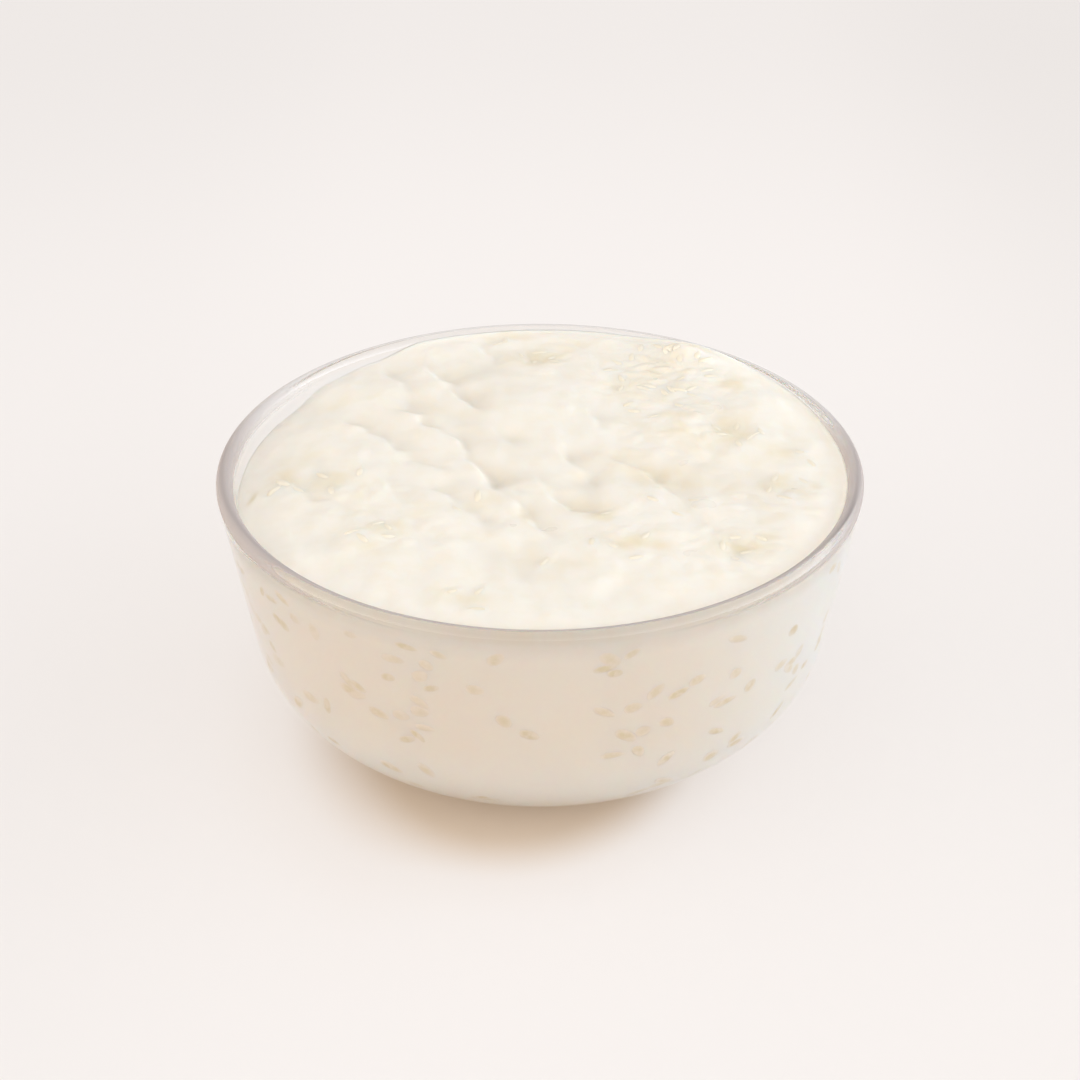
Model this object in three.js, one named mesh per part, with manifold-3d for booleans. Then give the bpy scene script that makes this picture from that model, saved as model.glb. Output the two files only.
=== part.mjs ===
// Rice pudding in its clear glass bowl.
// Millimetres, +Z up, origin at the centre of the bowl's flat base, on the surface it stands on.
// +Y is the back of the bowl and +X its right-hand side.
import * as THREE from 'three';
import { mergeVertices } from 'three/addons/utils/BufferGeometryUtils.js';
import Module from 'manifold-3d';

const wasm = await Module();
wasm.setup();

// Driving dimensions of the bowl
const RIM_RADIUS = 85;
const WALL = 4.2;
const LIP_RADIUS = WALL / 2;
const BOWL_HEIGHT = 74.5;
const LIP_LEVEL = BOWL_HEIGHT - LIP_RADIUS;
const WALL_SLOPE = 0.178;          // radius gained for each millimetre of height
const BELLY_WIDTH = 42.8;          // half axes of the rounded belly between base and wall
const BELLY_HEIGHT = 35.6;
const BOWL_SEGMENTS = 80;
const BELLY_STEPS = 7;
const LIP_STEPS = 6;

// Driving dimensions of the pudding
const GAP = 0.3;                   // between the pudding and the glass
const CROWN_LEVEL = 74.2;          // where the surface would lie without folds and lumps
const SHOULDER = 14;               // how far from the glass the surface comes up to the crown
const CALM_EDGE = 9;               // width of the band by the glass where the relief dies away
const TOP_RINGS = 23;
const SIDE_RINGS = 3;
const RING_COUNTS = [120, 108, 96, 84, 72, 54, 40, 24];

// Level of the pudding along the glass: [degrees anticlockwise from +X, millimetres]
const EDGE_LEVELS = [
  [-180, 65.8], [-160, 67.4], [-140, 70.6], [-110, 71.8], [-50, 71.8], [10, 71.7], [35, 73.0],
  [56, 74.7], [72, 73.1], [114, 72.9], [126, 70.4], [138, 69.4], [150, 66.8], [180, 65.8],
];

// Ripples between the folds: how high, how far apart and how much they sway
const RIPPLES = [
  { height: 0.5, pitch: 13, sway: 1.3, shift: 0 },
  { height: 0.3, pitch: 9, sway: 1.9, shift: 5 },
];

// Folds: a crest from back left to front right, with a sudden drop behind it
const FOLD_EDGE = 1.6;
const FOLD_END = 4;
const FOLD_SWAY = 0.9;
const FOLD_SWAY_PITCH = 17;
const FOLD_RISE = 0.42;            // share of the drop that stands above the crown
const FOLDS = [
  { crest: [[-40, 30], [-33, 27], [-25, 16], [-20, 7], [-15, -5], [-10, -15]], drop: 3.6, front: 9, back: 8 },
  { crest: [[-10, -15], [-6, -24], [0, -34]], drop: 3.0, front: 7, back: 5 },
  { crest: [[-32, 57], [-28, 49], [-23, 41], [-18, 31]], drop: 3.9, front: 9, back: 13 },
  { crest: [[-54, 26], [-47, 22], [-42, 13], [-38, 6]], drop: 2.6, front: 8, back: 7 },
  { crest: [[-36, 6], [-27, -3]], drop: 1.9, front: 5, back: 5 },
  { crest: [[-12, 20], [-9, 12]], drop: 1.4, front: 4, back: 5 },
  { crest: [[6, 8], [8, -1], [13, -9]], drop: 2.5, front: 6, back: 8 },
  { crest: [[0, -8], [3, -17], [7, -23], [15, -26]], drop: 2.6, front: 6, back: 8 },
  { crest: [[13, 29], [17, 19]], drop: 1.9, front: 5, back: 6 },
  { crest: [[20, 3], [27, -4], [32, -12], [36, -19]], drop: 2.6, front: 8, back: 10 },
  { crest: [[-44, 60], [-41, 50], [-37, 42]], drop: 2.0, front: 6, back: 6 },
  { crest: [[-18, 74], [-13, 60]], drop: 1.7, front: 5, back: 5 },
  { crest: [[-7, 66], [-3, 57]], drop: 2.0, front: 5, back: 6 },
  { crest: [[-70, 1], [-64, -8], [-60, -15], [-53, -20]], drop: 2.1, front: 6, back: 7 },
  { crest: [[-41, -4], [-37, -19]], drop: 1.5, front: 5, back: 5 },
  { crest: [[-28, -11], [-20, -23]], drop: 1.9, front: 5, back: 6 },
  { crest: [[44, -36], [50, -47]], drop: 1.7, front: 5, back: 7 },
];

// Lumps: low mounds, [x, y, radius, height]
const MOUNDS = [
  [42, 66, 9, 3.2], [22, 70, 10, 1.2], [60, 32, 16, 0.9], [-4, 34, 18, 0.8], [-46, 42, 12, 1.0],
  [2, -48, 20, -0.7], [54, -8, 14, -0.8], [70, -30, 9, 0.7],
];

// Where rice shows: [x, y, radius, grains]
const GRAIN_LENGTH = 6.4;
const GRAIN_WIDTH = 2.6;
const GRAIN_HEIGHT = 2.2;
const GRAIN_SINK = 0.2;            // how far a grain's middle lies under the surface
const GRAIN_LIMIT = 75;            // farthest that a grain's middle lies from the bowl's axis
const GRAIN_SEED = 20241;
const GRAIN_PATCHES = [
  [35, 52, 17, 17], [33, 34, 11, 7], [42, 67, 7, 4], [54, 16, 8, 6], [0, 62, 7, 5], [-10, 76, 5, 2],
  [62, -10, 8, 4], [69, 6, 5, 2], [50, -42, 8, 5], [24, -41, 7, 3], [16, -27, 3, 1], [8, -46, 9, 2],
  [-20, -18, 6, 2], [-18, -66, 7, 3], [-55, -8, 9, 4], [-42, -36, 9, 5], [-70, -6, 5, 2], [34, -20, 9, 3],
];

function smoothstep(low, high, value) {
  const t = THREE.MathUtils.clamp((value - low) / (high - low), 0, 1);
  return t * t * (3 - 2 * t);
}

// Park-Miller generator, so that every build draws the same grains
function randomSource(seed) {
  let state = seed;
  return () => {
    state = (state * 16807) % 2147483647;
    return state / 2147483647;
  };
}

// The bowl's wall, set in from its outer face: a straight wall over an elliptical belly
function wallCurve(inset) {
  const width = BELLY_WIDTH - inset;
  const height = BELLY_HEIGHT - inset;
  const top = Math.atan(-WALL_SLOPE * height / width);
  return { width, height, top, topLevel: BELLY_HEIGHT + height * Math.sin(top) };
}

const OUTER = wallCurve(0);
const BASE_RADIUS = RIM_RADIUS - WALL_SLOPE * (LIP_LEVEL - OUTER.topLevel)
  - OUTER.width * Math.cos(OUTER.top);

function wallRadius(curve, level) {
  return BASE_RADIUS + curve.width * Math.cos(curve.top) + WALL_SLOPE * (level - curve.topLevel);
}

// A point of the belly; share runs from 0 at the base to 1 at the straight wall
function bellyPoint(curve, share) {
  const angle = THREE.MathUtils.lerp(-Math.PI / 2, curve.top, share);
  const radius = BASE_RADIUS + curve.width * Math.cos(angle);
  return new THREE.Vector2(radius, BELLY_HEIGHT + curve.height * Math.sin(angle));
}

function bellyPoints(curve) {
  const points = [];
  for (let step = 0; step <= BELLY_STEPS; step += 1) {
    points.push(bellyPoint(curve, step / BELLY_STEPS));
  }
  return points;
}

function lipPoints() {
  const lean = Math.atan(WALL_SLOPE);
  const points = [];
  for (let step = 0; step <= LIP_STEPS; step += 1) {
    const angle = Math.PI * step / LIP_STEPS - lean;
    const radius = RIM_RADIUS - LIP_RADIUS + LIP_RADIUS * Math.cos(angle);
    points.push(new THREE.Vector2(radius, LIP_LEVEL + LIP_RADIUS * Math.sin(angle)));
  }
  return points;
}

function bowlGeometry() {
  const profile = [
    new THREE.Vector2(0, 0),
    ...bellyPoints(OUTER),
    ...lipPoints(),
    ...bellyPoints(wallCurve(WALL)).reverse(),
    new THREE.Vector2(0, WALL),
  ];
  const geometry = new THREE.LatheGeometry(profile, BOWL_SEGMENTS);
  geometry.rotateX(Math.PI / 2);
  return geometry;
}

function edgeLevel(degrees) {
  const next = EDGE_LEVELS.findIndex(([angle]) => angle >= degrees && angle > -180);
  const [lowAngle, lowLevel] = EDGE_LEVELS[next - 1];
  const [highAngle, highLevel] = EDGE_LEVELS[next];
  return lowLevel + (highLevel - lowLevel) * smoothstep(lowAngle, highAngle, degrees);
}

// Signed distance from a fold's crest, positive behind it, and how far past its two ends
function crestDistance(crest, x, y) {
  let best = { across: 0, past: 0, reach: Infinity };
  const last = crest.length - 2;
  for (let index = 0; index <= last; index += 1) {
    const [ax, ay] = crest[index];
    const [bx, by] = crest[index + 1];
    const length = Math.hypot(bx - ax, by - ay);
    const along = ((bx - ax) * (x - ax) + (by - ay) * (y - ay)) / length;
    const across = ((bx - ax) * (y - ay) - (by - ay) * (x - ax)) / length;
    const beyond = Math.max(0, -along, along - length);
    const reach = Math.hypot(across, beyond);
    if (reach < best.reach) {
      const past = (index === 0 && along < 0) || (index === last && along > length) ? beyond : 0;
      best = { across: Math.sign(across) * (past > 0 ? Math.abs(across) : reach), past, reach };
    }
  }
  return best;
}

function foldHeight(fold, x, y) {
  const swayedX = x + FOLD_SWAY * Math.sin(2 * Math.PI * y / FOLD_SWAY_PITCH);
  const swayedY = y + FOLD_SWAY * Math.sin(2 * Math.PI * x / FOLD_SWAY_PITCH);
  const { across, past } = crestDistance(fold.crest, swayedX, swayedY);
  const behind = smoothstep(-FOLD_EDGE / 2, FOLD_EDGE / 2, across);
  const rise = FOLD_RISE * Math.exp(-Math.abs(across) / fold.front);
  const fall = (1 - FOLD_RISE) * Math.exp(-Math.abs(across) / fold.back);
  return fold.drop * ((1 - behind) * rise - behind * fall) * Math.exp(-((past / FOLD_END) ** 2));
}

function moundHeight([cx, cy, radius, height], x, y) {
  return height * Math.exp(-((x - cx) ** 2 + (y - cy) ** 2) / radius ** 2);
}

function rippleHeight({ height, pitch, sway, shift }, x, y) {
  const across = 2 * Math.PI * (x + shift) / pitch;
  const along = 2 * Math.PI * (y - shift) / pitch;
  const bentAcross = across + sway * Math.sin(along / 2);
  const bentAlong = along + sway * Math.sin(across / 2);
  return height * Math.sin(bentAcross) * Math.sin(bentAlong);
}

function total(values) {
  return values.reduce((sum, value) => sum + value, 0);
}

// Height of the pudding's surface; wallGap is the distance from the glass
function surfaceHeight(x, y, wallGap) {
  const edge = edgeLevel(THREE.MathUtils.radToDeg(Math.atan2(y, x)));
  const level = edge + (CROWN_LEVEL - edge) * (1 - Math.exp(-wallGap / SHOULDER));
  const folds = total(FOLDS.map((fold) => foldHeight(fold, x, y)));
  const mounds = total(MOUNDS.map((mound) => moundHeight(mound, x, y)));
  const ripples = total(RIPPLES.map((waves) => rippleHeight(waves, x, y)));
  return level + smoothstep(0, CALM_EDGE, wallGap) * (folds + mounds + ripples);
}

function ringOf(count, pointAt) {
  const ring = [];
  for (let index = 0; index < count; index += 1) {
    const angle = -Math.PI + 2 * Math.PI * index / count;
    ring.push(pointAt(angle));
  }
  return ring;
}

// Rings of points over the pudding: up its top from the middle, then down beside the glass
function puddingRings() {
  const side = wallCurve(WALL + GAP);
  const rings = [];
  const edgeRadius = (angle) => wallRadius(side, edgeLevel(THREE.MathUtils.radToDeg(angle)));
  for (let step = 1; step <= TOP_RINGS; step += 1) {
    rings.push(ringOf(6 * step, (angle) => {
      const full = edgeRadius(angle);
      const radius = full * step / TOP_RINGS;
      const x = radius * Math.cos(angle);
      const y = radius * Math.sin(angle);
      return new THREE.Vector3(x, y, surfaceHeight(x, y, full - radius));
    }));
  }
  for (let step = 1; step < SIDE_RINGS; step += 1) {
    rings.push(ringOf(RING_COUNTS[0], (angle) => {
      const edge = edgeLevel(THREE.MathUtils.radToDeg(angle));
      const level = THREE.MathUtils.lerp(edge, side.topLevel, step / SIDE_RINGS);
      const radius = wallRadius(side, level);
      return new THREE.Vector3(radius * Math.cos(angle), radius * Math.sin(angle), level);
    }));
  }
  for (let step = 0; step <= BELLY_STEPS; step += 1) {
    const point = bellyPoint(side, 1 - step / BELLY_STEPS);
    rings.push(ringOf(RING_COUNTS[step], (angle) => (
      new THREE.Vector3(point.x * Math.cos(angle), point.x * Math.sin(angle), point.y)
    )));
  }
  return rings;
}

// Triangles between two rings whose points may differ in number
function bridgeRings(triangles, inner, outer) {
  let i = 0;
  let j = 0;
  while (i < inner.length || j < outer.length) {
    const a = inner[i % inner.length];
    const b = outer[j % outer.length];
    const innerNext = (i + 1) / inner.length;
    const outerNext = (j + 1) / outer.length;
    if (j < outer.length && (outerNext <= innerNext || i >= inner.length)) {
      j += 1;
      triangles.push(a, b, outer[j % outer.length]);
    } else {
      i += 1;
      triangles.push(a, b, inner[i % inner.length]);
    }
  }
}

function closeRing(triangles, ring, centre, outwards) {
  for (let index = 0; index < ring.length; index += 1) {
    const next = ring[(index + 1) % ring.length];
    triangles.push(...(outwards ? [centre, ring[index], next] : [ring[index], centre, next]));
  }
}

function coreGeometry() {
  const rings = puddingRings();
  const triangles = [];
  const top = new THREE.Vector3(0, 0, surfaceHeight(0, 0, RIM_RADIUS - WALL));
  closeRing(triangles, rings[0], top, true);
  for (let index = 0; index < rings.length - 1; index += 1) {
    bridgeRings(triangles, rings[index], rings[index + 1]);
  }
  closeRing(triangles, rings.at(-1), new THREE.Vector3(0, 0, WALL + GAP), false);
  return new THREE.BufferGeometry().setFromPoints(triangles);
}

// Every grain: where it lies on the surface, which way it points and how long it is
function grainPlaces() {
  const random = randomSource(GRAIN_SEED);
  const places = [];
  for (const [cx, cy, radius, count] of GRAIN_PATCHES) {
    for (let index = 0; index < count; index += 1) {
      const bearing = 2 * Math.PI * (index + 0.7 * random()) / count;
      const reach = radius * Math.sqrt(0.1 + 0.9 * random());
      const turn = Math.PI * random();
      const size = 0.85 + 0.3 * random();
      const place = new THREE.Vector2(cx + reach * Math.cos(bearing), cy + reach * Math.sin(bearing));
      place.clampLength(0, GRAIN_LIMIT);
      places.push({ x: place.x, y: place.y, turn, size });
    }
  }
  return places;
}

// A grain lies at the mean height of the surface under its middle and its two ends
function grainGeometry({ x, y, turn, size }) {
  const half = GRAIN_LENGTH * size / 2;
  const ends = [-half, 0, half].map((along) => {
    const px = x + along * Math.cos(turn);
    const py = y + along * Math.sin(turn);
    return surfaceHeight(px, py, RIM_RADIUS - WALL - Math.hypot(px, py));
  });
  const level = (ends[0] + ends[1] + ends[2]) / 3 - GRAIN_SINK;
  const geometry = new THREE.SphereGeometry(0.5, 6, 4);
  geometry.scale(GRAIN_LENGTH * size, GRAIN_WIDTH, GRAIN_HEIGHT);
  geometry.rotateZ(turn);
  geometry.translate(x, y, level);
  return geometry;
}

function toSolid(geometry) {
  const bare = geometry.clone();
  bare.deleteAttribute('normal');
  bare.deleteAttribute('uv');
  const merged = mergeVertices(bare);
  const vertProperties = new Float32Array(merged.attributes.position.array);
  const triVerts = new Uint32Array(merged.index.array);
  return new wasm.Manifold(new wasm.Mesh({ numProp: 3, vertProperties, triVerts }));
}

function toGeometry(solid) {
  const mesh = solid.getMesh();
  const geometry = new THREE.BufferGeometry();
  geometry.setAttribute('position', new THREE.BufferAttribute(mesh.vertProperties, 3));
  geometry.setIndex(new THREE.BufferAttribute(mesh.triVerts, 1));
  return geometry;
}

function puddingGeometry() {
  let solid = toSolid(coreGeometry());
  for (const place of grainPlaces()) {
    solid = solid.add(toSolid(grainGeometry(place)));
  }
  return toGeometry(solid);
}

function namedMesh(name, geometry, material) {
  const mesh = new THREE.Mesh(geometry, material);
  mesh.name = name;
  return mesh;
}

const glass = new THREE.MeshStandardMaterial({ color: '#e9eeec', roughness: 0.05, metalness: 0 });
const cream = new THREE.MeshStandardMaterial({ color: '#f4ecde', roughness: 0.45, metalness: 0 });

const group = new THREE.Group();
group.add(namedMesh('bowl', bowlGeometry(), glass));
group.add(namedMesh('pudding', puddingGeometry(), cream));

export default group;
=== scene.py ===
"""Rice pudding in its clear glass bowl: the looks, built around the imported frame.

Laid out as an add-on: property groups hold the sizes and colours, one operator makes each piece
or group of like pieces, and one more makes the stage. The forms are worked out in millimetres;
the properties, the materials and the stage are in metres. +Y is the back of the bowl and +X its
right-hand side.
"""

import math

import bmesh
import bpy
import numpy as np
from bpy.props import FloatProperty, FloatVectorProperty, IntProperty, PointerProperty
from mathutils import Matrix, Vector


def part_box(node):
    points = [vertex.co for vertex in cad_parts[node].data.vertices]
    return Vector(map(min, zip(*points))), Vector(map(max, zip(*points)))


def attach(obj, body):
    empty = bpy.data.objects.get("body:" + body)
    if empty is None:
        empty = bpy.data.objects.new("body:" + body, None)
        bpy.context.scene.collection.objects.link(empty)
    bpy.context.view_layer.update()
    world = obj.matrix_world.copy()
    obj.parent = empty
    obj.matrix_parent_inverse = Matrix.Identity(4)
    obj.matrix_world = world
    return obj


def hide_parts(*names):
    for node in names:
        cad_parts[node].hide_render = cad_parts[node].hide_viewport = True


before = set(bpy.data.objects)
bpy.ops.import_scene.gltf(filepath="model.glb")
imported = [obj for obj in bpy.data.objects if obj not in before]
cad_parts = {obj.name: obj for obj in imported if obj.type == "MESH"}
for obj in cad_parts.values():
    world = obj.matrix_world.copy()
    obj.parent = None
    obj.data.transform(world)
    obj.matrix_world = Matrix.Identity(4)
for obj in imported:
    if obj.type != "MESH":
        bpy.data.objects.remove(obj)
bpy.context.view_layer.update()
BOWL_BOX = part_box("bowl")

bl_info = {
    "name": "Rice pudding bowl",
    "version": (1, 0, 0),
    "blender": (4, 5, 0),
    "location": "View3D > Sidebar > Rice pudding",
    "description": "Rice pudding with a folded top in a clear glass bowl",
    "category": "Object",
}

MM = 0.001
BODY = "root"

LEFT, RIGHT = (-1, 0, 0), (1, 0, 0)
FORWARD, BACKWARD, UP = (0, -1, 0), (0, 1, 0), (0, 0, 1)

# Level of the pudding along the glass: (degrees anticlockwise from +X, millimetres)
EDGE_LEVELS = (
    (-180, 65.8), (-160, 67.4), (-140, 70.6), (-110, 71.8), (-50, 71.8), (10, 71.7), (35, 73.0),
    (56, 74.7), (72, 73.1), (114, 72.9), (126, 70.4), (138, 69.4), (150, 66.8), (180, 65.8),
)

# Folds: crest from back left to front right, drop behind it, reach in front and behind
FOLDS = (
    (((-40, 30), (-33, 27), (-25, 16), (-20, 7), (-15, -5), (-10, -15)), 3.6, 9, 8),
    (((-10, -15), (-6, -24), (0, -34)), 3.0, 7, 5),
    (((-32, 57), (-28, 49), (-23, 41), (-18, 31)), 3.9, 9, 13),
    (((-54, 26), (-47, 22), (-42, 13), (-38, 6)), 2.6, 8, 7),
    (((-36, 6), (-27, -3)), 1.9, 5, 5),
    (((-12, 20), (-9, 12)), 1.4, 4, 5),
    (((6, 8), (8, -1), (13, -9)), 2.5, 6, 8),
    (((0, -8), (3, -17), (7, -23), (15, -26)), 2.6, 6, 8),
    (((13, 29), (17, 19)), 1.9, 5, 6),
    (((20, 3), (27, -4), (32, -12), (36, -19)), 2.6, 8, 10),
    (((-44, 60), (-41, 50), (-37, 42)), 2.0, 6, 6),
    (((-18, 74), (-13, 60)), 1.7, 5, 5),
    (((-7, 66), (-3, 57)), 2.0, 5, 6),
    (((-70, 1), (-64, -8), (-60, -15), (-53, -20)), 2.1, 6, 7),
    (((-41, -4), (-37, -19)), 1.5, 5, 5),
    (((-28, -11), (-20, -23)), 1.9, 5, 6),
    (((44, -36), (50, -47)), 1.7, 5, 7),
)
FOLD_EDGE = 4.4             # width of the slope at the crest
FOLD_TAPER = 6.5            # over which a fold starts and ends
FOLD_DEPTH = 0.44           # share of the drop that shows once the cream has settled
FOLD_RISE = 0.2             # share of the drop that stands above the crown
FOLD_BREAK = 0.8            # how much the drop comes and goes along the crest
FOLD_BREAK_PITCH, FOLD_BREAK_SEED = 10, 12
FOLD_SWAY = 0.6             # long waves of the crest
FOLD_SWAY_PITCH = 17
FOLD_LUMP = 0.9             # short lumps of the crest
FOLD_LUMP_PITCH, FOLD_LUMP_SEEDS = 5.0, (5, 6)
FOLD_SHADE = 0.75           # depth of the painted shade for each millimetre of drop
FOLD_SHADE_EDGE = (-0.7, 0.9)   # where that painted shade starts and is full, across the crest

# Low mounds: x, y, radius, height
MOUNDS = (
    (42, 66, 9, 3.2), (22, 70, 10, 1.2), (60, 32, 16, 0.9), (-4, 34, 18, 0.8), (-46, 42, 12, 1.0),
    (2, -48, 20, -0.7), (54, -8, 14, -0.8), (70, -30, 9, 0.7),
)

# Small pockets: x, y, radius, height
POCKETS = (
    (-8, 15, 3.5, -0.9), (-35, 3, 3, -0.8), (-12, -8, 4, -1.0), (-19, -23, 4, -0.9),
    (12, -8, 5, -1.2), (10, -22, 7, -1.2), (31, -6, 10, -0.9), (-14, -28, 3, -0.7),
    (-6, -14, 2.5, -0.7), (-48, 14, 5, -0.5), (-58, -20, 4, -0.5), (40, -30, 5, -0.6),
)

# Swell between the folds: height, pitch, seed
SWELLS = ((0.4, 20, 3), (0.6, 9, 4), (0.32, 5, 14))
SWELL_LENGTH = 1.6          # how much longer a swell runs from front to back than across
HOLLOW_DEPTHS = (0.1, 2.2)  # depths where the painted shade of a hollow starts and is full

# The uneven field that the folds, the swell and the edges of the tints follow
UNEVEN_CELLS = 64           # cells each way, more than any use of it spans
UNEVEN_GAIN = 1.6           # brings it to about -1 to 1

# Where whole grains stand out: x, y, radius, grains
RICE_PATCHES = (
    (35, 52, 17, 17), (33, 34, 11, 7), (42, 67, 7, 4), (54, 16, 8, 6), (0, 62, 7, 5),
    (-10, 76, 5, 2), (62, -10, 8, 4), (69, 6, 5, 2), (50, -42, 8, 5), (24, -41, 7, 3),
    (16, -27, 3, 1), (8, -46, 9, 2), (-20, -18, 6, 2), (-18, -66, 7, 3), (-55, -8, 9, 4),
    (-42, -36, 9, 5), (-70, -6, 5, 2), (34, -20, 9, 3),
)
GRAIN_SEED = 20241
DRAW_FACTOR, DRAW_LIMIT = 16807, 2147483647     # of the generator that draws them
GRAIN_LIMIT = 75            # furthest that a grain's middle lies from the bowl's axis
GRAIN_COLLAR = 0.5          # how far the cream rises round a grain that stands out
GRAIN_SCATTER = 0.7         # how far a grain strays from its even bearing in the patch
GRAIN_MIDDLE = 0.1          # share of the patch's area that stays free in the middle
GRAIN_LEAST_SIZE, GRAIN_SIZE_SPREAD = 0.85, 0.3


# ---------------------------------------------------------------- properties

def size_property(name, description, default):
    return FloatProperty(name=name, description=description, default=default, unit="LENGTH")


def colour_property(name, description, default):
    return FloatVectorProperty(
        name=name, description=description, default=default, subtype="COLOR", size=3)


class BowlSizes(bpy.types.PropertyGroup):
    """Sizes of the glass bowl"""

    rim_radius: size_property("Rim radius", "Outside radius of the lip", round(BOWL_BOX[1][0], 3))
    height: size_property("Height", "From the base to the top of the lip", BOWL_BOX[1][2])
    wall: size_property("Wall", "Thickness of the glass", 0.0042)
    wall_slope: FloatProperty(
        name="Wall slope", description="Radius gained for each unit of height", default=0.178)
    belly_width: size_property("Belly width", "Half width of the belly's curve", 0.0428)
    belly_height: size_property("Belly height", "Half height of the belly's curve", 0.0356)
    segments: IntProperty(
        name="Segments", description="Steps round the bowl", default=192, min=24)


class PuddingSizes(bpy.types.PropertyGroup):
    """Sizes of the pudding and its grains"""

    crown_level: size_property("Crown level", "Height of the surface without its relief", 0.0742)
    shoulder: size_property(
        "Shoulder", "How far from the glass the surface comes up to the crown", 0.014)
    calm_edge: size_property(
        "Calm edge", "Width of the band by the glass where the relief dies away", 0.007)
    press: size_property("Press", "How far the cream reaches into the glass", 0.00015)
    grid: IntProperty(
        name="Grid", description="Steps across the surface", default=256, min=32)
    grain_length: size_property("Grain length", "Length of a cooked grain", 0.0064)
    grain_width: size_property("Grain width", "Width of a cooked grain", 0.0026)
    grain_height: size_property("Grain height", "Height of a cooked grain", 0.0022)
    grain_sink: size_property(
        "Grain sink", "How far the middle of a grain lies under the surface", 0.00093)
    grains_at_glass: IntProperty(
        name="Grains at the glass", description="Grains that show through the glass", default=340)


class Colours(bpy.types.PropertyGroup):
    """Colours of the pudding, the glass and the stage"""

    cream: colour_property("Cream", "Colour of the cream", (0.822, 0.75, 0.632))
    # painted shade: darker cream in the hollows and behind the fold crests
    hollow: colour_property("Hollow", "Colour of the cream in its hollows", (0.74, 0.655, 0.53))
    # painted light: paler cream along the rim, where the surface lies in shade
    painted_light_by_rim: colour_property(
        "Cream by the rim", "Colour of the surface along the rim", (0.95, 0.865, 0.735))
    # painted light: lighter than the top's cream, to make up for the light the side lacks behind
    # the glass
    cream_at_glass_with_painted_light: colour_property(
        "Cream at the glass", "Colour of the cream behind the glass", (0.985, 0.83, 0.69))
    # painted light: paler cream low down and at the two sides
    painted_light_at_sides: colour_property(
        "Cream at the sides", "Colour of the cream low down and at the two sides",
        (0.99, 0.93, 0.86))
    # painted light under the lip in front; also the paler tone of the random mottle
    painted_lip_light_and_mottle: colour_property(
        "Cream under the lip", "Colour of the cream along the lip", (0.995, 0.87, 0.73))
    rice_at_glass: colour_property(
        "Rice at the glass", "Colour of the grains behind the glass", (0.82, 0.67, 0.43))
    rice: colour_property("Rice", "Colour of the grains", (0.765, 0.64, 0.425))
    glass: colour_property("Glass", "Colour of the glass", (0.985, 0.99, 0.985))
    lip: colour_property("Lip", "Colour of the thick glass at the lip", (0.975, 0.955, 0.925))
    # painted refraction: the thick glass is warmer at the front of the lip, where the cream shows
    # through it
    painted_refraction_in_front: colour_property(
        "Lip in front", "Colour of the thick glass at the front of the lip", (0.975, 0.93, 0.86))
    # painted reflection of the thick lip at a slant: warm in front, dark at the sides, lighter at
    # the back
    painted_lip_reflection_in_front: colour_property(
        "Lip edge in front", "Colour of the front of the lip at a slant", (0.8, 0.61, 0.44))
    painted_lip_reflection: colour_property(
        "Lip edge", "Colour of the lip where it is seen at a slant", (0.45, 0.385, 0.345))
    painted_lip_reflection_back: colour_property(
        "Lip at the back", "Colour of the lip's far side at a slant", (0.68, 0.63, 0.575))
    floor: colour_property("Floor", "Colour of the floor", (0.30, 0.278, 0.258))
    floor_by_bowl: colour_property(
        "Floor by the bowl", "Colour of the floor in the bowl's warm shadow", (0.60, 0.50, 0.39))


class StageSizes(bpy.types.PropertyGroup):
    """Camera and lights"""

    lens: FloatProperty(
        name="Lens", description="Focal length of the camera", unit="CAMERA", default=85)
    distance: size_property("Distance", "From the camera to its aim", 0.68406)
    elevation: FloatProperty(
        name="Elevation", description="Angle of the camera above level", subtype="ANGLE",
        default=math.radians(30.56))
    aim_height: size_property(
        "Aim height", "Height of the point in the middle of the view", 0.05047)
    key_light: FloatProperty(
        name="Key light", description="Power of the light at the back right", unit="POWER",
        default=3.0)
    sky: FloatProperty(
        name="Sky", description="Strength of the light from all round", default=1.0)


# ---------------------------------------------------------------- shader helpers

class Value:
    """A node socket that takes part in Python expressions."""

    def __init__(self, kit, socket):
        self.kit = kit
        self.socket = socket

    def _maths(self, operation, first, second):
        node = self.kit.node("ShaderNodeMath", {"operation": operation}, {0: first, 1: second})
        return node.value("Value")

    def __add__(self, other):
        return self._maths("ADD", self, other)

    def __sub__(self, other):
        return self._maths("SUBTRACT", self, other)

    def __rsub__(self, other):
        return self._maths("SUBTRACT", other, self)

    def __mul__(self, other):
        return self._maths("MULTIPLY", self, other)

    def __pow__(self, other):
        return self._maths("POWER", self, other)

    def __rpow__(self, other):
        return self._maths("POWER", other, self)

    def at_least(self, other):
        return self._maths("MAXIMUM", self, other)

    __radd__ = __add__
    __rmul__ = __mul__


class NodeHandle:
    """A node whose outputs can be taken as values."""

    def __init__(self, kit, node):
        self.kit = kit
        self.raw = node

    def value(self, name):
        return Value(self.kit, self.raw.outputs[name])


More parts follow.
